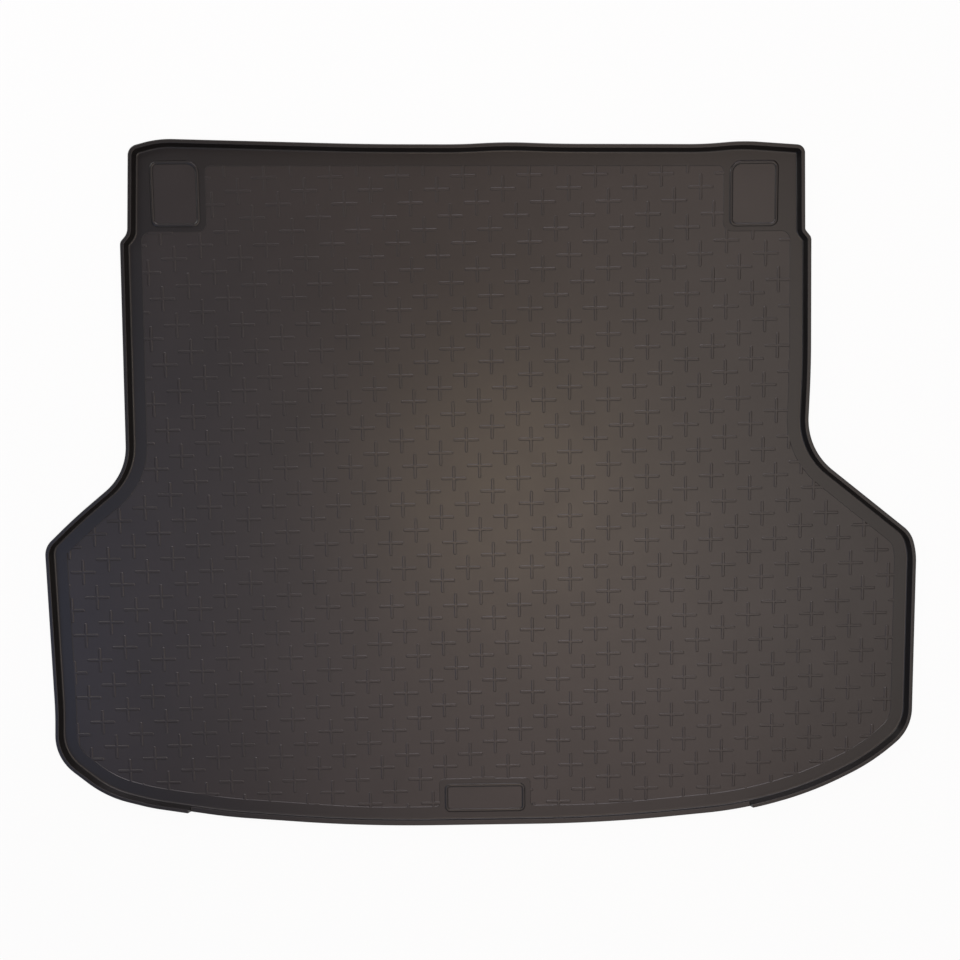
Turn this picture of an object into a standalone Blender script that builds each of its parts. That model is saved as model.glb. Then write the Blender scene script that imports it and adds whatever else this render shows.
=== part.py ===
# Boot liner: one moulded tray of rubbery plastic that covers the floor of a car's boot.
# It has a raised lip all round, a low stretch of lip where loads slide in, two ringed pads
# in the seat-side corners, a bare ringed panel at the tailgate, and a field of small crosses.
#
# Metres, +Z up, +X to the right seen from above, +Y toward the seats.
# The origin lies under the middle of the tray, in the plane of its flat underside.

import math

import bmesh
import bpy
import numpy as np


# Heights above the boot floor
border_top = 0.0032
field_drop = 0.0008
lip_top = 0.0152
sill_top = 0.0072

# Section of the lip, each step measured inwards from the one before
outer_lean = 0.0010
rim_round = 0.0015
rim_flat = 0.0039
wall_lean = 0.0036
foot_fillet = 0.0024
foot_fillet_rise = 0.0015

# Seat-side edge: how far each point of its gentle wave lies from the origin
seat_left_edge = 0.5259
seat_left_crest = 0.5376
seat_left_slope_end = 0.5266
seat_middle_dip = 0.5251
seat_middle_rise = 0.5281
seat_right_dip = 0.5246
seat_right_slope_end = 0.5221
seat_right_crest = 0.5266
seat_right_edge = 0.5195

# The same points across the car
seat_left_corner = 0.5231
seat_left_crest_at = 0.4781
seat_left_slope_at = 0.1630
seat_dip_at = 0.0260
seat_rise_at = 0.0420
seat_right_dip_at = 0.1190
seat_right_slope_at = 0.3395
seat_right_crest_at = 0.3980
seat_right_corner = 0.4916

# Radii that round those points
seat_left_corner_round = 0.0170
seat_left_crest_round = 0.1610
seat_left_slope_round = 4.7000
seat_dip_round = 0.9000
seat_rise_round = 0.7500
seat_right_dip_round = 2.4000
seat_right_slope_round = 0.5300
seat_right_crest_round = 0.3210
seat_right_corner_round = 0.0130

# Left side, outwards from the origin and along the car
left_neck = 0.5291
left_waist = 0.5406
left_arch = 0.5456
left_flank_top = 0.6287
left_flank = 0.6761
left_flank_hollow = 0.6726
left_jog_top = 0.3989
left_jog_bottom = 0.3859
left_arch_top = 0.0365
left_arch_bottom = -0.0317
left_shoulder = -0.0765
left_hollow_at = -0.3380
left_heel = -0.4125

# Radii of the left side, from its heel up to the neck
left_heel_round = 0.0760
left_hollow_round = 0.6300
left_shoulder_round = 0.0320
left_arch_bottom_round = 0.8800
left_arch_top_round = 0.0910
left_jog_bottom_round = 0.0110
left_jog_top_round = 0.0210

# Right side, outwards from the origin and along the car
right_neck = 0.4941
right_waist = 0.5036
right_waist_bulge = 0.5066
right_arch = 0.5026
right_flank_top = 0.6675
right_flank = 0.6761
right_jog_top = 0.3944
right_jog_bottom = 0.3829
right_bulge_at = 0.1865
right_arch_top = 0.0610
right_arch_bottom = -0.0709
right_shoulder = -0.1014
right_heel = -0.3845

# Radii of the right side, from its neck down to the heel
right_jog_top_round = 0.0070
right_jog_bottom_round = 0.0110
right_bulge_round = 1.6700
right_arch_top_round = 0.1010
right_arch_bottom_round = 0.0460
right_shoulder_round = 0.2010
right_heel_round = 0.0730

# Tailgate edge: a shallow bow across the middle that runs up to the heels
bow_depth = 0.5346
bow_half_flat = 0.1900
bow_end_depth = 0.5156
bow_half_width = 0.4097
left_quarter_x = 0.5277
left_quarter_y = -0.4961
left_haunch_x = 0.5990
left_haunch_y = -0.4765
right_quarter_x = 0.5194
right_quarter_y = -0.4855
right_haunch_x = 0.6141
right_haunch_y = -0.4384

# Radii of the tailgate edge
right_haunch_round = 0.3150
right_quarter_round = 0.5900
bow_right_end_round = 0.7700
bow_round = 2.9000
bow_left_end_round = 0.8150
left_quarter_round = 0.3050
left_haunch_round = 0.1830

# Low loading lip, between two short ramps
sill_left_end = 0.4715
sill_right_end = 0.4270
sill_ramp = 0.0040
sill_cut_reach = 0.1200

# Border round the patterned field
field_margin = 0.0296
field_corner = 0.0080
field_shoulder_round = 0.0140

# Ringed pads in the seat-side corners, measured to the middle of the bead
pad_width = 0.0690
pad_length = 0.0930
pad_corner = 0.0085
pad_inner_corner = 0.0160
left_pad_from_edge = 0.0305
right_pad_from_edge = 0.0391
left_pad_from_seat = 0.0215
right_pad_from_seat = 0.0225
pad_clearance = 0.0113
pad_clearance_below = 0.0092

# Bare panel at the tailgate, measured to the middle of its bead
panel_width = 0.1230
panel_length = 0.0410
panel_corner = 0.0065
panel_from_edge = 0.0236
panel_clearance = 0.0105

# Flattened round bead that rings the pads and the panel, and how much of it stands proud
bead_half_width = 0.0030
bead_half_height = 0.0020
bead_rise = 0.0014

# Crosses: raised ribs, each at the middle of a five-cell plus in a grid of square cells.
# From one cross to the next it is two cells along and one across.
cross_cell = 0.0200
cross_step_along = 2
cross_step_across = 1
cross_grid_reach = 40
cross_outline_points = 8
cross_arm = 0.0198
cross_root = 0.0027
cross_rise = 0.00075
cross_origin_x = 0.0173
cross_origin_y = 0.1011

# Largest gap between arc and chord, on the long outlines and on the small beads, the most
# of an edge that one rounding may take, and the smallest radius left where an edge moves in
outline_arc_gap = 0.0008
bead_arc_gap = 0.0005
arc_edge_share = 0.49
smallest_round = 0.0005

# How far cutters run past what they cut, and the distance at which a curve's caps weld
cut_margin = 0.0020
weld_gap = 0.00001

# Edges that turn by more than this many degrees stay sharp in the shading
sharp_turn = 30.0


def clear_scene():
    """Start from an empty file, whatever it was opened with."""
    for old in list(bpy.data.objects):
        bpy.data.objects.remove(old, do_unlink=True)


def new_collection(name):
    collection = bpy.data.collections.new(name)
    bpy.context.scene.collection.children.link(collection)
    return collection


def outline_corners():
    """Corners of the outer edge as rows of x, y and rounding radius, clockwise from above."""
    seat_side = [
        (-seat_left_corner, seat_left_edge, seat_left_corner_round),
        (-seat_left_crest_at, seat_left_crest, seat_left_crest_round),
        (-seat_left_slope_at, seat_left_slope_end, seat_left_slope_round),
        (-seat_dip_at, seat_middle_dip, seat_dip_round),
        (seat_rise_at, seat_middle_rise, seat_rise_round),
        (seat_right_dip_at, seat_right_dip, seat_right_dip_round),
        (seat_right_slope_at, seat_right_slope_end, seat_right_slope_round),
        (seat_right_crest_at, seat_right_crest, seat_right_crest_round),
        (seat_right_corner, seat_right_edge, seat_right_corner_round),
    ]
    right_side = [
        (right_neck, right_jog_top, right_jog_top_round),
        (right_waist, right_jog_bottom, right_jog_bottom_round),
        (right_waist_bulge, right_bulge_at, right_bulge_round),
        (right_arch, right_arch_top, right_arch_top_round),
        (right_flank_top, right_arch_bottom, right_arch_bottom_round),
        (right_flank, right_shoulder, right_shoulder_round),
        (right_flank, right_heel, right_heel_round),
        (right_haunch_x, right_haunch_y, right_haunch_round),
        (right_quarter_x, right_quarter_y, right_quarter_round),
    ]
    tailgate_side = [
        (bow_half_width, -bow_end_depth, bow_right_end_round),
        (bow_half_flat, -bow_depth, bow_round),
        (-bow_half_flat, -bow_depth, bow_round),
        (-bow_half_width, -bow_end_depth, bow_left_end_round),
    ]
    left_side = [
        (-left_quarter_x, left_quarter_y, left_quarter_round),
        (-left_haunch_x, left_haunch_y, left_haunch_round),
        (-left_flank, left_heel, left_heel_round),
        (-left_flank_hollow, left_hollow_at, left_hollow_round),
        (-left_flank, left_shoulder, left_shoulder_round),
        (-left_flank_top, left_arch_bottom, left_arch_bottom_round),
        (-left_arch, left_arch_top, left_arch_top_round),
        (-left_waist, left_jog_bottom, left_jog_bottom_round),
        (-left_neck, left_jog_top, left_jog_top_round),
    ]
    return np.array(seat_side + right_side + tailgate_side + left_side)


def edge_normals(corners):
    """Unit normal of the edge that leaves each corner, pointing into the tray."""
    along = np.roll(corners[:, :2], -1, axis=0) - corners[:, :2]
    along /= np.linalg.norm(along, axis=1)[:, None]
    return np.column_stack((along[:, 1], -along[:, 0]))


def inset(corners, distance):
    """The same corners with every edge moved in by one distance, and the roundings to suit."""
    leaving = edge_normals(corners)
    arriving = np.roll(leaving, 1, axis=0)
    spread = 1.0 + np.sum(leaving * arriving, axis=1)
    moved = corners[:, :2] + distance * (leaving + arriving) / spread[:, None]
    turn = arriving[:, 0] * leaving[:, 1] - arriving[:, 1] * leaving[:, 0]
    radius = corners[:, 2] + np.where(turn < 0, -distance, distance)
    return np.column_stack((moved, np.maximum(radius, smallest_round)))


def arc_steps(corners, gap):
    """How many straight pieces keep each rounding within a gap of its arc, or none at all."""
    leaving = edge_normals(corners)
    arriving = np.roll(leaving, 1, axis=0)
    turn = np.arccos(np.clip(np.sum(leaving * arriving, axis=1), -1.0, 1.0))
    step = 2.0 * np.arccos(1.0 - np.minimum(gap / corners[:, 2], 0.5))
    stands_out = corners[:, 2] * (1.0 / np.cos(turn / 2.0) - 1.0)
    return np.where(stands_out < gap, 0, np.ceil(turn / step).astype(int))


def rounded(corners, steps):
    """Points of the outline whose corners are rounded by arcs that touch both edges."""
    points = []
    spots = corners[:, :2]
    for i, (here, radius, count) in enumerate(zip(spots, corners[:, 2], steps)):
        if count == 0:
            points.append(here)
            continue
        back = spots[i - 1] - here
        ahead = spots[(i + 1) % len(spots)] - here
        back_length = np.linalg.norm(back)
        ahead_length = np.linalg.norm(ahead)
        back /= back_length
        ahead /= ahead_length
        half_angle = math.acos(np.clip(back @ ahead, -1.0, 1.0)) / 2.0
        longest_reach = arc_edge_share * min(back_length, ahead_length)
        reach = min(radius / math.tan(half_angle), longest_reach)
        fitted = reach * math.tan(half_angle)
        inward = (back + ahead) / np.linalg.norm(back + ahead)
        centre = here + inward * fitted / math.sin(half_angle)
        first = here + back * reach - centre
        last = here + ahead * reach - centre
        start = math.atan2(first[1], first[0])
        sweep = math.remainder(math.atan2(last[1], last[0]) - start, math.tau)
        angles = start + sweep * np.linspace(0.0, 1.0, count + 1)
        points.extend(centre + fitted * np.column_stack((np.cos(angles), np.sin(angles))))
    return np.array(points)


def mesh_object(name, bm, collection):
    """Put a bmesh into a new object and close the bmesh."""
    bmesh.ops.recalc_face_normals(bm, faces=bm.faces)
    mesh = bpy.data.meshes.new(name)
    bm.to_mesh(mesh)
    bm.free()
    made = bpy.data.objects.new(name, mesh)
    collection.objects.link(made)
    return made


def loft(name, rings, collection):
    """Closed body through rings of equal count, each a list of points and a height."""
    bm = bmesh.new()
    loops = [[bm.verts.new((x, y, height)) for x, y in ring] for ring, height in rings]
    count = len(loops[0])
    for low, high in zip(loops, loops[1:]):
        for i in range(count):
            j = (i + 1) % count
            bm.faces.new((low[i], low[j], high[j], high[i]))
    bm.faces.new(loops[0])
    bm.faces.new(loops[-1])
    return mesh_object(name, bm, collection)


def curve_as_mesh(curve_object, collection):
    """Replace a curve object by the closed mesh that it draws, so that it can cut or join."""
    bpy.context.view_layer.update()
    graph = bpy.context.evaluated_depsgraph_get()
    mesh = bpy.data.meshes.new_from_object(curve_object.evaluated_get(graph))
    bm = bmesh.new()
    bm.from_mesh(mesh)
    bmesh.ops.remove_doubles(bm, verts=bm.verts, dist=weld_gap)
    bmesh.ops.recalc_face_normals(bm, faces=bm.faces)
    bm.to_mesh(mesh)
    bm.free()
    solid = bpy.data.objects.new(curve_object.name + "_solid", mesh)
    collection.objects.link(solid)
    solid.matrix_world = curve_object.matrix_world
    bpy.data.objects.remove(curve_object, do_unlink=True)
    return solid


def closed_curve(name, points, dimensions, collection):
    """Closed polyline curve object through points in one plane."""
    curve = bpy.data.curves.new(name, "CURVE")
    curve.dimensions = dimensions
    spline = curve.splines.new("POLY")
    spline.points.add(len(points) - 1)
    for knot, (x, y) in zip(spline.points, points):
        knot.co = (x, y, 0.0, 1.0)
    spline.use_cyclic_u = True
    made = bpy.data.objects.new(name, curve)
    collection.objects.link(made)
    return made


def flat_plate(name, points, low, high, collection):
    """Plate with a given outline between two heights."""
    plate = closed_curve(name, points, "2D", collection)
    plate.data.fill_mode = "BOTH"
    plate.data.extrude = (high - low) / 2.0
    plate.location.z = (high + low) / 2.0
    return curve_as_mesh(plate, collection)


def bead_ring(name, corners, collection):
    """Flattened bead along a closed outline, standing bead_rise above the border."""
    points = rounded(corners, arc_steps(corners, bead_arc_gap))
    bead = closed_curve(name, points, "3D", collection)
    bead.data.bevel_depth = bead_half_width
    bead.data.bevel_resolution = 1
    bead.scale.z = bead_half_height / bead_half_width
    bead.location.z = border_top + bead_rise - bead_half_height
    return curve_as_mesh(bead, collection)


def rectangle(low_x, low_y, high_x, high_y, radii):
    """Corners of a rectangle, clockwise from its far left corner."""
    spots = [(low_x, high_y), (high_x, high_y), (high_x, low_y), (low_x, low_y)]
    return np.array([(x, y, radius) for (x, y), radius in zip(spots, radii)])


def left_pad():
    low_x = -seat_left_corner + left_pad_from_edge
    high_y = seat_left_edge - left_pad_from_seat
    radii = (pad_corner, pad_inner_corner, pad_corner, pad_corner)
    return rectangle(low_x, high_y - pad_length, low_x + pad_width, high_y, radii)


def right_pad():
    high_x = seat_right_corner - right_pad_from_edge
    high_y = seat_right_edge - right_pad_from_seat
    radii = (pad_inner_corner, pad_corner, pad_corner, pad_corner)
    return rectangle(high_x - pad_width, high_y - pad_length, high_x, high_y, radii)


def panel():
    low_y = -bow_depth + panel_from_edge
    radii = (panel_corner,) * 4
    return rectangle(-panel_width / 2, low_y, panel_width / 2, low_y + panel_length, radii)


def field_corners(outline):
    """Edge of the patterned field: the outer edge moved in, stepped round pads and panel.
    In the outline's order the seat-side slope runs from corner 2 to 6, the right side from
    10 to 17, the bow from 18 to 21 and the left side from 22 to 29."""
    inner = inset(outline, field_margin)
    seat_slope_start, seat_slope_end = inner[2, :2], inner[6, :2]
    slope = (seat_slope_end[1] - seat_slope_start[1]) / (seat_slope_end[0] - seat_slope_start[0])
    left_x = left_pad()[1, 0] + pad_clearance
    right_x = right_pad()[0, 0] - pad_clearance
    left_y = left_pad()[2, 1] - pad_clearance_below
    right_y = right_pad()[2, 1] - pad_clearance_below
    far_left_y = seat_slope_start[1] + slope * (left_x - seat_slope_start[0])
    far_right_y = seat_slope_start[1] + slope * (right_x - seat_slope_start[0])
    seat_side = [
        (left_x, far_left_y, field_corner),
        (right_x, far_right_y, field_corner),
        (right_x, right_y, field_shoulder_round),
        (inner[10, 0], right_y, field_shoulder_round),
    ]
    right_side = [tuple(row) for row in inner[11:20]]
    half = panel_width / 2 + panel_clearance
    top = panel()[0, 1] + panel_clearance
    bottom = inner[19, 1]
    round_panel = [
        (half, bottom, panel_corner),
        (half, top, field_corner),
        (-half, top, field_corner),
        (-half, bottom, panel_corner),
    ]
    left_side = [tuple(row) for row in inner[20:29]]
    under_left_pad = [
        (inner[29, 0], left_y, field_shoulder_round),
        (left_x, left_y, field_shoulder_round),
    ]
    return np.array(seat_side + right_side + round_panel + left_side + under_left_pad)


def inside(points, outline):
    """True for each point that lies inside a closed outline."""
    ahead = np.roll(outline, -1, axis=0)
    x = points[:, :1]
    y = points[:, 1:]
    passes = (outline[:, 1] > y) != (ahead[:, 1] > y)
    rise = np.where(ahead[:, 1] == outline[:, 1], 1.0, ahead[:, 1] - outline[:, 1])
    at_x = outline[:, 0] + (ahead[:, 0] - outline[:, 0]) * (y - outline[:, 1]) / rise
    return np.sum(passes & (x < at_x), axis=1) % 2 == 1


def cross_centres(field):
    """Grid of centres where plus shapes of five cells tile the plane, kept where they show."""
    steps = np.arange(-cross_grid_reach, cross_grid_reach)
    first, second = np.meshgrid(steps, steps)
    x = cross_step_along * first + cross_step_across * second
    y = cross_step_across * first - cross_step_along * second
    centres = cross_cell * np.column_stack((x.ravel(), y.ravel()))
    centres += (cross_origin_x, cross_origin_y)
    shown = inside(centres, field)
    for tip in ((cross_arm, 0), (-cross_arm, 0), (0, cross_arm), (0, -cross_arm)):
        shown |= inside(centres + tip, field)
    return centres[shown]


def crosses(name, field, collection):
    """Four-armed ribs, each a low spire whose arms thin out and fall away to their tips."""
    bm = bmesh.new()
    foot = border_top - field_drop - cut_margin
    height = cross_rise + cut_margin
    swell = height / cross_rise
    for x, y in cross_centres(field):
        made = bmesh.ops.create_cone(
            bm, cap_ends=True, cap_tris=False, segments=cross_outline_points,
            radius1=cross_arm * swell, radius2=0.0, depth=height)
        for vertex in made["verts"]:
            around = math.atan2(vertex.co.y, vertex.co.x)
            between_arms = abs(math.sin(2 * around)) > abs(math.cos(2 * around))
            if between_arms:
                vertex.co.xy *= cross_root * math.sqrt(2.0) / cross_arm
            vertex.co.x += x
            vertex.co.y += y
            vertex.co.z += foot + height / 2.0
    return mesh_object(name, bm, collection)


def sill_notch(name, collection):
    """Wedge-ended block that takes the lip down to its low height along the tailgate."""
    near = -bow_depth - cut_margin
    far = -bow_depth + sill_cut_reach
    low = [(-sill_left_end + sill_ramp, far), (sill_right_end - sill_ramp, far),
           (sill_right_end - sill_ramp, near), (-sill_left_end + sill_ramp, near)]
    steeper = sill_ramp * cut_margin / (lip_top - sill_top)
    high = [(-sill_left_end - steeper, far), (sill_right_end + steeper, far),
            (sill_right_end + steeper, near), (-sill_left_end - steeper, near)]
    return loft(name, [(low, sill_top), (high, lip_top + cut_margin)], collection)


def moulded_tray(name, outline, collection):
    """Floor and lip in one: up the outer face, over the rim, down the inner wall."""
    steps = arc_steps(outline, outline_arc_gap)
    section = [
        (outer_lean, 0.0),
        (0.0, lip_top - rim_round),
        (rim_round, lip_top),
        (rim_round + rim_flat, lip_top),
        (rim_round + rim_flat + wall_lean, border_top + foot_fillet_rise),
        (rim_round + rim_flat + wall_lean + foot_fillet, border_top),
    ]
    rings = [(rounded(inset(outline, depth), steps), height) for depth, height in section]
    return loft(name, rings, collection)


def use_boolean(target, name, operation, tool):
    """Cut or join with the exact solver, and mark the tool as a guide that is not part."""
    modifier = target.modifiers.new(name, "BOOLEAN")
    modifier.operation = operation
    modifier.solver = "EXACT"
    modifier.object = tool
    tool.hide_render = True
    tool.display_type = "WIRE"


def rubber_material():
    material = bpy.data.materials.new("charcoal_rubber")
    material.use_nodes = True
    shader = material.node_tree.nodes["Principled BSDF"]
    shader.inputs["Base Color"].default_value = (0.022, 0.018, 0.017, 1.0)
    shader.inputs["Roughness"].default_value = 0.55
    shader.inputs["Metallic"].default_value = 0.0
    return material


def build():
    clear_scene()
    parts = new_collection("boot_liner")
    tools = new_collection("boot_liner_cutters")
    outline = outline_corners()
    field = field_corners(outline)
    field_points = rounded(field, arc_steps(field, outline_arc_gap))

    field_floor = border_top - field_drop
    press = flat_plate("field_press", field_points, field_floor, border_top + cut_margin, tools)
    ribs = crosses("cross_ribs", field_points, tools)
    beads = [bead_ring("left_pad_bead", left_pad(), tools),
             bead_ring("right_pad_bead", right_pad(), tools),
             bead_ring("panel_bead", panel(), tools)]
    notch = sill_notch("sill_notch", tools)

    mat = moulded_tray("boot_liner_mat", outline, parts)
    mat.data.materials.append(rubber_material())
    use_boolean(press, "cross grooves", "DIFFERENCE", ribs)
    use_boolean(mat, "patterned field", "DIFFERENCE", press)
    use_boolean(mat, "loading sill", "DIFFERENCE", notch)
    for bead in beads:
        use_boolean(mat, bead.name, "UNION", bead)

    edge = rounded(outline, arc_steps(outline, outline_arc_gap))
    sill_set_in = outer_lean * (1.0 - sill_top / (lip_top - rim_round))
    middle = (edge.min(axis=0) + (0.0, sill_set_in) + edge.max(axis=0)) / 2.0
    for piece in list(parts.objects) + list(tools.objects):
        piece.location.x -= middle[0]
        piece.location.y -= middle[1]

    mat.data.shade_smooth()
    mat.data.set_sharp_from_angle(angle=math.radians(sharp_turn))


build()
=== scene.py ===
import math

import bpy
import numpy as np
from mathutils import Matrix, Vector


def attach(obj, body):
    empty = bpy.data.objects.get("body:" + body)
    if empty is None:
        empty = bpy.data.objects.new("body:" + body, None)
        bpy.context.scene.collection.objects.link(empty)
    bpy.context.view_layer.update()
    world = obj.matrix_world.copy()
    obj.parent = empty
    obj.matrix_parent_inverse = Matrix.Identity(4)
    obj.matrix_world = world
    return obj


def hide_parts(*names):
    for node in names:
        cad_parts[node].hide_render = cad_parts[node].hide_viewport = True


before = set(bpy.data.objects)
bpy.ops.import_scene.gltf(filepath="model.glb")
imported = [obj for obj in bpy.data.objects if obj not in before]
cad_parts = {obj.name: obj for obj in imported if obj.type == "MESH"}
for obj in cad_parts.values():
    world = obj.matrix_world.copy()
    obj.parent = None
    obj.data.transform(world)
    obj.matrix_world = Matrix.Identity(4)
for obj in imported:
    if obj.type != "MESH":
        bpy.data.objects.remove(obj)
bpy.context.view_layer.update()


# Camera.
# The mat lies on the floor and is photographed from almost straight above it,
# a little to the seat side of its middle, with a normal lens and no tilt of the film.

camera_data = bpy.data.cameras.new("camera_above_mat")
camera_data.sensor_fit = "HORIZONTAL"
camera_data.sensor_width = 36.0
camera_data.lens = 41.25
camera = bpy.data.objects.new("camera_above_mat", camera_data)
camera.location = (-0.0170, 0.1821, 1.7016)
camera.rotation_euler = [math.radians(turn) for turn in (-5.537, -0.5545, -0.6429)]
bpy.context.scene.collection.objects.link(camera)
bpy.context.scene.camera = camera


# Tray: outer edge, lip and floor.
# A liner of soft black-brown thermoplastic rubber, pressed from one sheet. A lip stands
# all round it to hold spills, and is low along the tailgate so that loads slide out.

# The mat's middle, in the frame that its edges are measured in
middle = np.array([0.094, 1.34])

# Corners of the outer edge in millimetres, clockwise from above: x, y and rounding radius
seat_edge = [(-523.1, 525.9, 17), (-478.1, 537.6, 161), (-163, 526.6, 4700),
             (-26, 525.1, 900), (42, 528.1, 750), (119, 524.6, 2400), (339.5, 522.1, 530),
             (398, 526.6, 321), (491.6, 519.5, 13)]
right_edge = [(494.1, 394.4, 7), (503.6, 382.9, 11), (506.6, 186.5, 1670), (502.6, 61, 101),
              (667.5, -70.9, 46), (676.1, -101.4, 201), (676.1, -384.5, 73),
              (614.1, -438.4, 315), (519.4, -485.5, 590)]
tailgate_edge = [(409.7, -515.6, 770), (190, -534.6, 2900), (-190, -534.6, 2900),
                 (-409.7, -515.6, 815)]
left_edge = [(-527.7, -496.1, 305), (-599, -476.5, 183), (-676.1, -412.5, 76),
             (-672.6, -338, 630), (-676.1, -76.5, 32), (-628.7, -31.7, 880),
             (-545.6, 36.5, 91), (-540.6, 385.9, 11), (-529.1, 398.9, 21)]
outer_edge = np.array(seat_edge + right_edge + tailgate_edge + left_edge, float)

# Corners of the lip's section in millimetres: in from the edge, up from the floor, rounding
full_lip = [(3.0, 0.0, 0.0), (1.0, 0.0, 0.4), (0.0, 15.2, 1.7), (5.9, 15.2, 0.8),
            (10.0, 3.2, 2.4), (13.0, 3.2, 0.0)]
low_lip = [(3.0, 0.0, 0.0), (1.0, 0.0, 0.4), (0.5, 7.2, 1.2), (8.65, 7.2, 0.8),
           (10.0, 3.2, 2.4), (13.0, 3.2, 0.0)]
section_steps = (0, 5, 5, 4, 4, 0)
border_top = 3.2
millimetre = 0.001

# Where the low lip starts and ends across the tailgate, and the length of its ramps
low_lip_from, low_lip_to, low_lip_ramp = -471.5, 427.0, 4.0
edge_spacing = 3.4

# A corner's arc takes this share of its shorter edge at most
arc_share = 0.49
smallest_radius = 0.5

# Arcs under the tight radius, and the ramps, get points closer together
fine_step = 0.005
tight_radius, straight_radius = 60.0, 1e6


def corner_arcs(corners):
    """Each corner's arc touches both of its edges: its reach along them is the radius over
    the tangent of half the angle between them, cut to a share of the shorter edge. Returns the
    arc's centre, radius, first angle and sweep."""
    spot = corners[:, :2]
    back = np.roll(spot, 1, axis=0) - spot
    ahead = np.roll(spot, -1, axis=0) - spot
    back_length = np.linalg.norm(back, axis=1)
    ahead_length = np.linalg.norm(ahead, axis=1)
    back /= back_length[:, None]
    ahead /= ahead_length[:, None]
    half_angle = np.arccos(np.clip(np.sum(back * ahead, axis=1), -1.0, 1.0)) / 2.0
    reach = np.minimum(corners[:, 2] / np.tan(half_angle),
                       arc_share * np.minimum(back_length, ahead_length))
    radius = reach * np.tan(half_angle)
    inward = back + ahead
    inward /= np.linalg.norm(inward, axis=1)[:, None]
    centre = spot + inward * (radius / np.sin(half_angle))[:, None]
    first = spot + back * reach[:, None] - centre
    last = spot + ahead * reach[:, None] - centre
    start = np.arctan2(first[:, 1], first[:, 0])
    sweep = np.arctan2(last[:, 1], last[:, 0]) - start
    sweep = (sweep + math.pi) % (2.0 * math.pi) - math.pi
    return centre, radius, start, sweep


def along_outline(corners, place):
    """Points of a rounded outline. The whole part of a place names a corner; the first half
    of its fraction runs round the corner's arc, the second along the straight to the next."""
    centre, radius, start, sweep = corner_arcs(corners)
    here = np.floor(place).astype(int) % len(corners)
    after = (here + 1) % len(corners)
    fraction = place - np.floor(place)
    turn = start[here] + sweep[here] * np.minimum(2.0 * fraction, 1.0)
    on_arc = centre[here] + radius[here, None] * np.column_stack((np.cos(turn), np.sin(turn)))
    next_start = centre[after] + radius[after, None] * np.column_stack(
        (np.cos(start[after]), np.sin(start[after])))
    share = np.maximum(2.0 * fraction - 1.0, 0.0)[:, None]
    return on_arc * (1.0 - share) + next_start * share


def moved_in(corners, distance):
    """The outline's edges moved in side by side by one distance: a corner moves along the
    sum of its two edge normals over one plus their dot product, and roundings grow or shrink."""
    along = np.roll(corners[:, :2], -1, axis=0) - corners[:, :2]
    along /= np.linalg.norm(along, axis=1)[:, None]
    leaving = np.column_stack((along[:, 1], -along[:, 0]))
    arriving = np.roll(leaving, 1, axis=0)
    spread = 1.0 + np.sum(leaving * arriving, axis=1)
    spot = corners[:, :2] + distance * (leaving + arriving) / spread[:, None]
    turn = arriving[:, 0] * leaving[:, 1] - arriving[:, 1] * leaving[:, 0]
    radius = corners[:, 2] + np.where(turn < 0, -distance, distance)
    return np.column_stack((spot, np.maximum(radius, smallest_radius)))


def near_ramp(spot):
    """True within a little more than a ramp's length of the middle of either ramp."""
    away = np.minimum(np.abs(spot[:, 0] - low_lip_from - 0.5 * low_lip_ramp),
                      np.abs(spot[:, 0] - low_lip_to + 0.5 * low_lip_ramp))
    return (away < 1.2 * low_lip_ramp) & (spot[:, 1] < 0.0)


def even_places(corners, spacing, on_arcs=0.0, on_ramps=0.0):
    """Places that lie an even weighted distance apart. The weight is how densely the points
    lie: one, and on tight arcs and near the ramps that much more."""
    fine = np.arange(0.0, len(corners), fine_step)
    spot = along_outline(corners, fine)
    step = np.linalg.norm(np.roll(spot, -1, axis=0) - spot, axis=1)
    radius = np.where(fine % 1.0 < 0.5, corner_arcs(corners)[1][fine.astype(int)],
                      straight_radius)
    weight = 1.0 + on_arcs * (radius < tight_radius) + on_ramps * near_ramp(spot)
    run = np.concatenate(([0.0], np.cumsum(step * weight)))
    count = int(run[-1] / spacing)
    return np.interp(run[-1] * np.arange(count) / count, run, np.append(fine, len(corners)))


def rounded_section(corners, steps):
    """Open section whose inner corners are arcs of a given number of steps."""
    table = np.array(corners, float)
    points = [table[:1, :2]]
    for before, (x, z, radius), after, count in zip(table, table[1:], table[2:], steps[1:]):
        back = before[:2] - (x, z)
        ahead = after[:2] - (x, z)
        back /= np.linalg.norm(back)
        ahead /= np.linalg.norm(ahead)
        half_angle = math.acos(np.clip(back @ ahead, -1.0, 1.0)) / 2.0
        centre = (x, z) + (back + ahead) / np.linalg.norm(back + ahead) \
            * radius / math.sin(half_angle)
        first = (x, z) + back * radius / math.tan(half_angle) - centre
        last = (x, z) + ahead * radius / math.tan(half_angle) - centre
        start = math.atan2(first[1], first[0])
        sweep = math.remainder(math.atan2(last[1], last[0]) - start, math.tau)
        turn = start + sweep * np.linspace(0.0, 1.0, count + 1)
        points.append(centre + radius * np.column_stack((np.cos(turn), np.sin(turn))))
    points.append(table[-1:, :2])
    return np.concatenate(points)


def mesh_piece(name, points, faces):
    """Object at the origin whose points, given in millimetres, lie in metres about the
    mat's middle."""
    place = np.asarray(points, float).copy()
    place[:, :2] -= middle
    mesh = bpy.data.meshes.new(name)
    mesh.from_pydata(place * millimetre, [], faces)
    mesh.update(calc_edges=True)
    piece = bpy.data.objects.new(name, mesh)
    bpy.context.scene.collection.objects.link(piece)
    return piece


def ring_faces(rings, count):
    """Quads between neighbouring closed rings that hold the same count of points."""
    ring, spot = np.meshgrid(np.arange(rings - 1), np.arange(count), indexing="ij")
    here = ring * count + spot
    beside = ring * count + (spot + 1) % count
    return np.stack((here, beside, beside + count, here + count), axis=-1).reshape(-1, 4)


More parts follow.
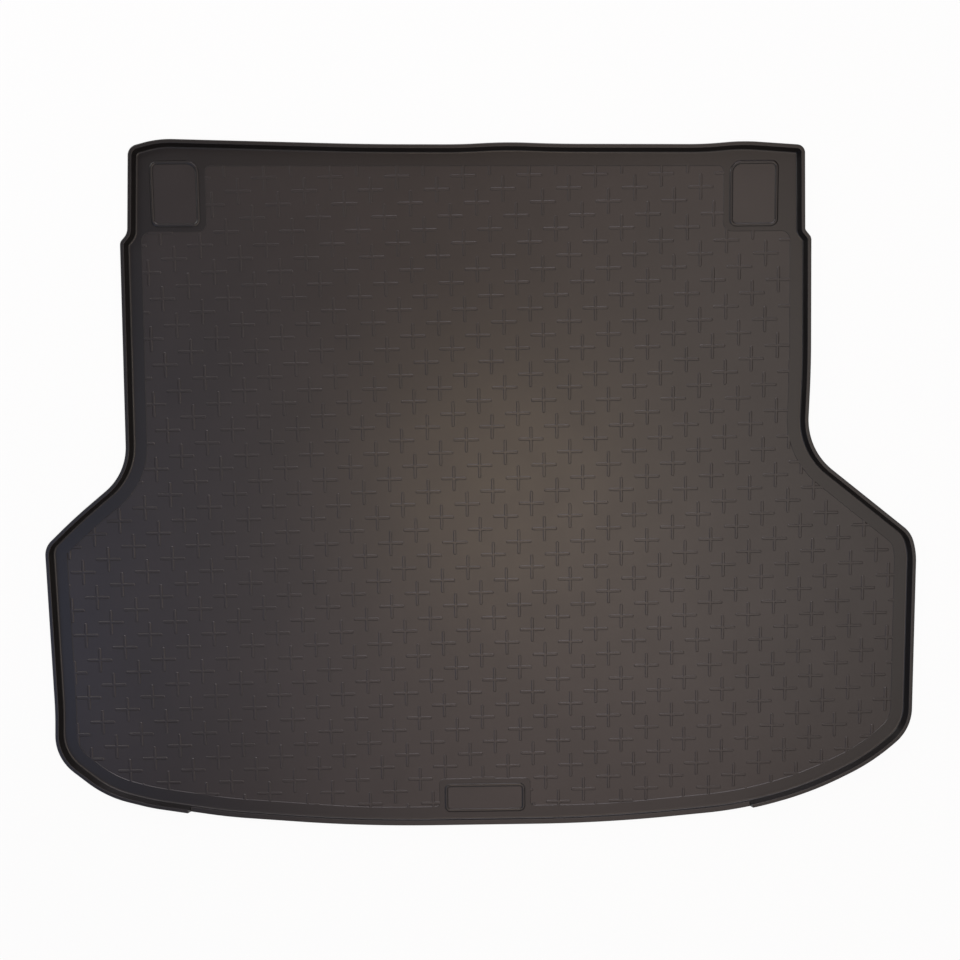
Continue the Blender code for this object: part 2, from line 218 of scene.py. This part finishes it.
def closed_body(name, rings):
    """Body through closed rings of equal count, given as an array of rings by points by
    x, y, z, with a flat face on the first and the last."""
    rings = np.asarray(rings, float)
    total, count = rings.shape[:2]
    faces = ring_faces(total, count)
    caps = [list(range(count))[::-1], list(range((total - 1) * count, total * count))]
    piece = mesh_piece(name, rings.reshape(-1, 3), faces.tolist() + caps)
    point_outwards(piece)
    return piece


def point_outwards(piece):
    """Turn the faces of a closed mesh outwards: its signed volume has to be positive."""
    mesh = piece.data
    mesh.calc_loop_triangles()
    corner = np.zeros(len(mesh.loop_triangles) * 3, int)
    mesh.loop_triangles.foreach_get("vertices", corner)
    place = np.zeros(len(mesh.vertices) * 3)
    mesh.vertices.foreach_get("co", place)
    a, b, c = place.reshape(-1, 3)[corner.reshape(-1, 3)].transpose(1, 0, 2)
    if np.sum(np.cross(a, b) * c) < 0.0:
        mesh.flip_normals()


def tray():
    """The section carried along the outer edge: at each point the ring for a depth is the
    outline moved in by that depth, and full and low lip are blended by a smooth ramp."""
    place = even_places(outer_edge, edge_spacing, on_arcs=3.0, on_ramps=7.0)
    edge = along_outline(outer_edge, place)
    into = np.clip(np.minimum(edge[:, 0] - low_lip_from, low_lip_to - edge[:, 0])
                   / low_lip_ramp, 0.0, 1.0)
    low = np.where(edge[:, 1] < 0.0, into * into * (3.0 - 2.0 * into), 0.0)
    rings = []
    for full, cut in zip(rounded_section(full_lip, section_steps),
                         rounded_section(low_lip, section_steps)):
        at_full = along_outline(moved_in(outer_edge, full[0]), place)
        at_low = along_outline(moved_in(outer_edge, cut[0]), place)
        spot = at_full + (at_low - at_full) * low[:, None]
        height = full[1] + (cut[1] - full[1]) * low
        rings.append(np.column_stack((spot, height)))
    return closed_body("boot_liner", rings)


liner = tray()


# Pads and panel.
# Two ringed pads in the seat-side corners lie over the load floor's tie-downs, and a ringed
# panel at the tailgate is left bare. Each ring is a round bead raised in the pressing.

bead_half_width, bead_half_height, bead_rise = 2.9, 2.2, 1.7
bead_spacing, bead_sides = 2.0, 24
left_pad = np.array([(-492.6, 504.4, 8.5), (-423.6, 504.4, 16.0),
                     (-423.6, 411.4, 8.5), (-492.6, 411.4, 8.5)])
right_pad = np.array([(383.5, 497.0, 16.0), (452.5, 497.0, 8.5),
                      (452.5, 404.0, 8.5), (383.5, 404.0, 8.5)])
bare_panel = np.array([(-61.5, -470.0, 6.5), (61.5, -470.0, 6.5),
                       (61.5, -511.0, 6.5), (-61.5, -511.0, 6.5)])


def bead(name, corners):
    """Flattened tube about a rounded rectangle: each point is the outline moved in by the
    half width times the sine of the turn, lifted by the half height times its cosine."""
    place = even_places(corners, bead_spacing, on_arcs=1.0)
    turns = np.arange(bead_sides) * 2.0 * math.pi / bead_sides
    rings = []
    for turn in turns:
        spot = along_outline(moved_in(corners, bead_half_width * math.sin(turn)), place)
        height = border_top + bead_rise + bead_half_height * (math.cos(turn) - 1.0)
        rings.append(np.column_stack((spot, np.full(len(place), height))))
    rings.append(rings[0])
    points = np.concatenate(rings[:-1])
    faces = ring_faces(len(rings), len(place)) % len(points)
    piece = mesh_piece(name, points, faces.tolist())
    point_outwards(piece)
    return piece


beads = [bead("left_pad_bead", left_pad), bead("right_pad_bead", right_pad),
         bead("panel_bead", bare_panel)]


# Patterned field.
# The middle of the floor is pressed a little thinner, and small crosses stand on it as low
# ribs that keep loads from sliding. They lie in a grid where five-cell pluses tile the floor.

field_margin = 29.6
field_floor = 2.4
field_wall = 0.7
cell = 20.0
cross_origin = (17.3, 101.1)
arm_length = 19.8
rib_foot, rib_shoulder, rib_crest = 2.35, 1.75, 1.25
crest_drop, shoulder_drop, root_depth = 0.05, 0.2, 0.5
crest_height = border_top - crest_drop
shoulder_height = crest_height - shoulder_drop
cross_points, grid_reach = 24, 45
press_spacing, press_flare, press_rise = 5.0, 0.6, 0.8

# How far the field keeps from a pad's side, from a pad's lower end and from the panel
pad_clearance, pad_clearance_below, panel_clearance = 11.3, 9.2, 10.5
far_corner, pad_corner, panel_foot, panel_corner = 8.0, 14.0, 6.5, 8.0

# Corners of the outer edge at which the field's own edge starts, turns and ends
seat_from, seat_to = 2, 6
right_waist = len(seat_edge) + 1
tailgate_flat = len(seat_edge) + len(right_edge) + 1
left_waist = len(outer_edge) - 2


def field_outline():
    """The outer edge moved in by the margin, stepped round the two pads and the panel."""
    inner = moved_in(outer_edge, field_margin)
    left_x = left_pad[1, 0] + pad_clearance
    right_x = right_pad[0, 0] - pad_clearance
    start, stop = inner[seat_from], inner[seat_to]
    slope = (stop[1] - start[1]) / (stop[0] - start[0])
    far = [(x, start[1] + slope * (x - start[0]), far_corner) for x in (left_x, right_x)]
    left_y = left_pad[2, 1] - pad_clearance_below
    right_y = right_pad[2, 1] - pad_clearance_below
    half = bare_panel[1, 0] + panel_clearance
    top = bare_panel[0, 1] + panel_clearance
    foot = inner[tailgate_flat, 1]
    by_right_pad = [(right_x, right_y, pad_corner), (inner[right_waist, 0], right_y, pad_corner)]
    by_panel = [(half, foot, panel_foot), (half, top, panel_corner),
                (-half, top, panel_corner), (-half, foot, panel_foot)]
    by_left_pad = [(inner[left_waist, 0], left_y, pad_corner), (left_x, left_y, pad_corner)]
    right_side = inner[right_waist + 1:tailgate_flat + 1].tolist()
    left_side = inner[tailgate_flat + 1:left_waist].tolist()
    return np.array(far + by_right_pad + right_side + by_panel + left_side + by_left_pad)


def inside(points, outline):
    """A point is inside where a ray to its right crosses the outline an odd number of times."""
    ahead = np.roll(outline, -1, axis=0)
    x, y = points[:, :1], points[:, 1:]
    passes = (outline[:, 1] > y) != (ahead[:, 1] > y)
    rise = np.where(ahead[:, 1] == outline[:, 1], 1.0, ahead[:, 1] - outline[:, 1])
    at_x = outline[:, 0] + (ahead[:, 0] - outline[:, 0]) * (y - outline[:, 1]) / rise
    return np.sum(passes & (x < at_x), axis=1) % 2 == 1


def cross_outline(half_width):
    """Plus with round arm ends: a quarter of it is one arm's inner corner and five points of
    its end arc, turned four times."""
    turn = np.linspace(math.pi / 2.0, -math.pi / 2.0, 5)
    straight = arm_length - rib_foot
    end = np.column_stack((straight + half_width * np.cos(turn), half_width * np.sin(turn)))
    arm = np.vstack(((half_width, half_width), end))
    quarter = [arm @ np.array([[c, -s], [s, c]]).T for c, s in
               ((1, 0), (0, -1), (-1, 0), (0, 1))]
    return np.concatenate(quarter)


def crosses(edge):
    """Every cross is the same four rings, set down at the centres that show in the field."""
    steps = np.arange(-grid_reach, grid_reach)
    first, second = np.meshgrid(steps, steps)
    centres = np.column_stack((cross_origin[0] + cell * (2 * first + second).ravel(),
                               cross_origin[1] + cell * (first - 2 * second).ravel()))
    shown = inside(centres, edge)
    for tip in ((arm_length, 0), (-arm_length, 0), (0, arm_length), (0, -arm_length)):
        shown |= inside(centres + tip, edge)
    centres = centres[shown]
    levels = ((rib_foot, field_floor - root_depth), (rib_foot, field_floor),
              (rib_shoulder, shoulder_height), (rib_crest, crest_height))
    one = np.concatenate([np.column_stack((cross_outline(half), np.full(cross_points, height)))
                          for half, height in levels])
    sides = ring_faces(len(levels), cross_points)
    bottom = np.arange(cross_points)[::-1]
    top = np.arange(cross_points) + cross_points * (len(levels) - 1)
    points = one[None] + np.column_stack((centres, np.zeros(len(centres))))[:, None, :]
    shift = (np.arange(len(centres)) * len(one))[:, None, None]
    faces = (sides[None] + shift).reshape(-1, 4).tolist()
    faces += (bottom[None] + shift[:, 0]).tolist() + (top[None] + shift[:, 0]).tolist()
    piece = mesh_piece("cross_ribs", points.reshape(-1, 3), faces)
    point_outwards(piece)
    return piece


def field_press():
    """Block that presses the field: its sides slope out from the field's floor. Returns it and
    the field's edge at the height of the border."""
    corners = field_outline()
    place = even_places(corners, press_spacing, on_arcs=3.0)
    levels = ((field_wall, field_floor), (0.0, border_top),
              (-press_flare, border_top + press_rise))
    rings = [np.column_stack((along_outline(moved_in(corners, depth), place),
                              np.full(len(place), height))) for depth, height in levels]
    return closed_body("field_press", rings), along_outline(corners, place)


def combine(piece, operation, tool):
    """Cut or join two closed meshes, keep the result in the piece and drop the tool."""
    modifier = piece.modifiers.new(tool.name, "BOOLEAN")
    modifier.operation = operation
    modifier.solver = "MANIFOLD"
    modifier.object = tool
    bpy.context.view_layer.update()
    graph = bpy.context.evaluated_depsgraph_get()
    result = bpy.data.meshes.new_from_object(piece.evaluated_get(graph))
    piece.modifiers.remove(modifier)
    piece.data = result
    bpy.data.objects.remove(tool)


press, field_edge = field_press()
combine(press, "DIFFERENCE", crosses(field_edge))
combine(liner, "DIFFERENCE", press)
for ring in beads:
    combine(liner, "UNION", ring)


flat_within = 0.01


def mark_painted_floors(piece, edge):
    """Face attribute that is one on the floor of the field, the pads and the panel, which the
    rubber paints lighter, and nought on the border and lip, which it paints darker: painted
    shade. A face counts as inside where the middle of one of its own triangles does."""
    mesh = piece.data
    mesh.calc_loop_triangles()
    count = len(mesh.loop_triangles)
    corner, owner = np.zeros(count * 3, int), np.zeros(count, int)
    mesh.loop_triangles.foreach_get("vertices", corner)
    mesh.loop_triangles.foreach_get("polygon_index", owner)
    place = np.zeros(len(mesh.vertices) * 3)
    mesh.vertices.foreach_get("co", place)
    centre = place.reshape(-1, 3)[corner.reshape(-1, 3)].mean(axis=1) / millimetre
    spot = centre[:, :2] + middle
    floors_painted_lighter = inside(spot, edge) & (centre[:, 2] < border_top - flat_within)
    for pad in (left_pad, right_pad, bare_panel):
        within = along_outline(pad, even_places(pad, bead_spacing))
        floors_painted_lighter |= inside(spot, within) & (np.abs(centre[:, 2] - border_top) < flat_within)
    values = np.zeros(len(mesh.polygons))
    values[owner] = floors_painted_lighter
    mark = mesh.attributes.new("floors_painted_lighter", "FLOAT", "FACE")
    mark.data.foreach_set("value", values)


# This mask carries painted shade: the border and lip are painted darker and the floors it marks
# lighter.
mark_painted_floors(liner, field_edge)
liner.data.shade_smooth()
liner.data.set_sharp_from_angle(angle=math.radians(20.0))
weighted = liner.modifiers.new("flat faces stay flat", "WEIGHTED_NORMAL")
weighted.mode = "FACE_AREA"
weighted.weight = 100
weighted.keep_sharp = True


# Rubber.
# Charcoal-brown thermoplastic rubber with a fine moulded grain and a soft satin face. A
# little dust sits on it. Its border and lip are painted darker and its pressed floors lighter:
# painted shade for the shade that the lip casts on the border.

dark_rubber = (0.0095, 0.0080, 0.0076, 1.0)
pale_rubber = (0.0125, 0.0105, 0.0100, 1.0)
dust = (0.30, 0.29, 0.27, 1.0)
speck_radius, speck_missing = 0.022, 0.96

rubber = bpy.data.materials.new("charcoal_rubber")
rubber.use_nodes = True
rubber_tree = rubber.node_tree
shader = rubber_tree.nodes["Principled BSDF"]
shader.inputs["Metallic"].default_value = 0.0
shader.inputs["Specular IOR Level"].default_value = 0.6


def node(tree, kind, **values):
    """New node of a kind in a tree. Each value sets the property or the socket of its name."""
    made = tree.nodes.new(kind)
    for name, value in values.items():
        if name in made.bl_rna.properties:
            setattr(made, name, value)
        else:
            made.inputs[name.replace("_", " ")].default_value = value
    return made


def join(source, target):
    """Link an output to an input of the same tree."""
    target.id_data.links.new(source, target)


where = node(rubber_tree, "ShaderNodeTexCoord").outputs["Object"]

mottle = node(rubber_tree, "ShaderNodeTexNoise", Scale=9.0, Detail=4.0, Roughness=0.55)
join(where, mottle.inputs["Vector"])
shade = node(rubber_tree, "ShaderNodeValToRGB")
shade.color_ramp.elements[0].position = 0.3
shade.color_ramp.elements[0].color = dark_rubber
shade.color_ramp.elements[1].position = 0.7
shade.color_ramp.elements[1].color = pale_rubber
join(mottle.outputs["Fac"], shade.inputs["Fac"])

# Painted shade: the border and lip take half the rubber's tone and the marked floors 1.7 times
# it, standing in for the shade that the lip casts on the border beside it.
floors_painted_lighter = node(rubber_tree, "ShaderNodeAttribute", attribute_name="floors_painted_lighter",
               attribute_type="GEOMETRY")
painted_shade_lift = node(rubber_tree, "ShaderNodeMapRange")
painted_shade_lift.inputs["To Min"].default_value = 0.5
painted_shade_lift.inputs["To Max"].default_value = 1.7
join(floors_painted_lighter.outputs["Fac"], painted_shade_lift.inputs["Value"])
tone_with_painted_shade = node(rubber_tree, "ShaderNodeVectorMath", operation="SCALE")
join(shade.outputs["Color"], tone_with_painted_shade.inputs[0])
join(painted_shade_lift.outputs["Result"], tone_with_painted_shade.inputs["Scale"])

specks = node(rubber_tree, "ShaderNodeTexVoronoi", Scale=26.0, Randomness=1.0)
join(where, specks.inputs["Vector"])
speck_here = node(rubber_tree, "ShaderNodeMath", operation="LESS_THAN")
speck_here.inputs[1].default_value = speck_radius
join(specks.outputs["Distance"], speck_here.inputs[0])
speck_kept = node(rubber_tree, "ShaderNodeSeparateColor")
join(specks.outputs["Color"], speck_kept.inputs["Color"])
speck_rare = node(rubber_tree, "ShaderNodeMath", operation="GREATER_THAN")
speck_rare.inputs[1].default_value = speck_missing
join(speck_kept.outputs["Red"], speck_rare.inputs[0])
speck_mask = node(rubber_tree, "ShaderNodeMath", operation="MULTIPLY")
join(speck_here.outputs[0], speck_mask.inputs[0])
join(speck_rare.outputs[0], speck_mask.inputs[1])
dusted = node(rubber_tree, "ShaderNodeMix", data_type="RGBA")
dusted.inputs[7].default_value = dust
join(speck_mask.outputs[0], dusted.inputs[0])
join(tone_with_painted_shade.outputs["Vector"], dusted.inputs[6])
join(dusted.outputs[2], shader.inputs["Base Color"])

sheen = node(rubber_tree, "ShaderNodeTexNoise", Scale=14.0, Detail=3.0, Roughness=0.5)
join(where, sheen.inputs["Vector"])
gloss = node(rubber_tree, "ShaderNodeMapRange")
gloss.inputs["To Min"].default_value = 0.33
gloss.inputs["To Max"].default_value = 0.41
join(sheen.outputs["Fac"], gloss.inputs["Value"])
join(gloss.outputs["Result"], shader.inputs["Roughness"])

grain = node(rubber_tree, "ShaderNodeTexVoronoi", Scale=900.0, Randomness=1.0, feature="F1")
join(where, grain.inputs["Vector"])
relief = node(rubber_tree, "ShaderNodeBump", Strength=0.12, Distance=0.0001)
join(grain.outputs["Distance"], relief.inputs["Height"])
join(relief.outputs["Normal"], shader.inputs["Normal"])

liner.data.materials.clear()
liner.data.materials.append(rubber)
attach(liner, "root")
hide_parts("boot_liner_mat")


# Floor and light.
# A round floor of white paper whose edge curves up into a wall. It keeps the mat's shadow,
# and to the camera and in reflections it is nearly as white as paper can be.

floor_radius, wall_radius, wall_height = 4.0, 6.0, 2.0
floor_middle, floor_sides, wall_rings = 0.3, 64, 13
paper_glow, sky_glow = 0.94, 0.03


def floor_surface():
    """Surface of revolution: flat out to the floor's radius, then a quarter of an ellipse up
    to the wall's height."""
    turn = np.linspace(0.0, math.pi / 2.0, wall_rings)
    curve = floor_radius + (wall_radius - floor_radius) * np.sin(turn)
    out = np.concatenate(([floor_middle], curve))
    up = np.concatenate(([0.0], wall_height * (1.0 - np.cos(turn))))
    around = np.arange(floor_sides) * 2.0 * math.pi / floor_sides
    ring = np.stack((np.outer(out, np.cos(around)), np.outer(out, np.sin(around)),
                     np.repeat(up[:, None], floor_sides, axis=1)), axis=-1)
    mesh = bpy.data.meshes.new("studio_floor")
    faces = ring_faces(len(out), floor_sides).tolist() + [list(range(floor_sides))]
    mesh.from_pydata(ring.reshape(-1, 3), [], faces)
    mesh.shade_smooth()
    made = bpy.data.objects.new("studio_floor", mesh)
    bpy.context.scene.collection.objects.link(made)
    return made


floor = floor_surface()
paper = bpy.data.materials.new("white_paper")
paper.use_nodes = True
paper_tree = paper.node_tree
paper_tree.nodes.remove(paper_tree.nodes["Principled BSDF"])
matte = node(paper_tree, "ShaderNodeBsdfDiffuse", Color=(0.9, 0.9, 0.9, 1.0))
glow = node(paper_tree, "ShaderNodeEmission", Color=(1.0, 1.0, 1.0, 1.0), Strength=1.0)
path = node(paper_tree, "ShaderNodeLightPath")
seen = node(paper_tree, "ShaderNodeMath", operation="MAXIMUM")
join(path.outputs["Is Camera Ray"], seen.inputs[0])
join(path.outputs["Is Glossy Ray"], seen.inputs[1])
seen_anyhow = node(paper_tree, "ShaderNodeMath", operation="MAXIMUM")
join(seen.outputs[0], seen_anyhow.inputs[0])
join(path.outputs["Is Transmission Ray"], seen_anyhow.inputs[1])
glow_share = node(paper_tree, "ShaderNodeMath", operation="MULTIPLY")
glow_share.inputs[1].default_value = paper_glow
join(seen_anyhow.outputs[0], glow_share.inputs[0])
blend = node(paper_tree, "ShaderNodeMixShader")
join(glow_share.outputs[0], blend.inputs[0])
join(matte.outputs[0], blend.inputs[1])
join(glow.outputs[0], blend.inputs[2])
join(blend.outputs[0], paper_tree.nodes["Material Output"].inputs["Surface"])
floor.data.materials.append(paper)

world = bpy.data.worlds.new("studio")
world.use_nodes = True
world.node_tree.nodes["Background"].inputs["Color"].default_value = (1.0, 1.0, 1.0, 1.0)
world.node_tree.nodes["Background"].inputs["Strength"].default_value = sky_glow
bpy.context.scene.world = world


def softbox(name, place, size, power, colour):
    """Square area lamp at a place, turned to face the middle of the mat."""
    lamp = bpy.data.lights.new(name, "AREA")
    lamp.shape = "SQUARE"
    lamp.size = size
    lamp.energy = power
    lamp.color = colour
    made = bpy.data.objects.new(name, lamp)
    made.location = place
    made.rotation_euler = (-Vector(place)).to_track_quat("-Z", "Y").to_euler()
    made.visible_camera = False
    bpy.context.scene.collection.objects.link(made)


softbox("overhead", (0.10, -0.22, 2.5), 0.7, 7.2, (1.0, 0.78, 0.54))
softbox("left_bank", (-1.4, -0.4, 2.6), 2.2, 7.8, (0.72, 0.78, 1.0))
softbox("right_bank", (1.4, -0.2, 2.6), 2.2, 16.8, (1.0, 0.91, 0.86))
softbox("tailgate_bank", (0.3, -1.6, 2.6), 2.2, 17.8, (1.0, 0.81, 0.77))
softbox("seat_bank", (0.0, 1.6, 2.6), 2.2, 9.8, (1.0, 0.77, 0.68))
softbox("seat_right_bank", (1.3, 1.3, 2.5), 1.8, 5.0, (1.0, 0.80, 0.70))
softbox("left_sky", (-2.4, -0.9, 2.2), 1.2, 7.0, (0.45, 0.55, 1.0))
softbox("seat_corner", (-1.9, 1.6, 1.0), 1.2, 17.0, (1.0, 0.96, 0.95))
softbox("seat_side", (0.2, 2.5, 1.0), 1.4, 25.0, (1.0, 0.92, 1.0))


bpy.context.scene.view_settings.view_transform = "Standard"
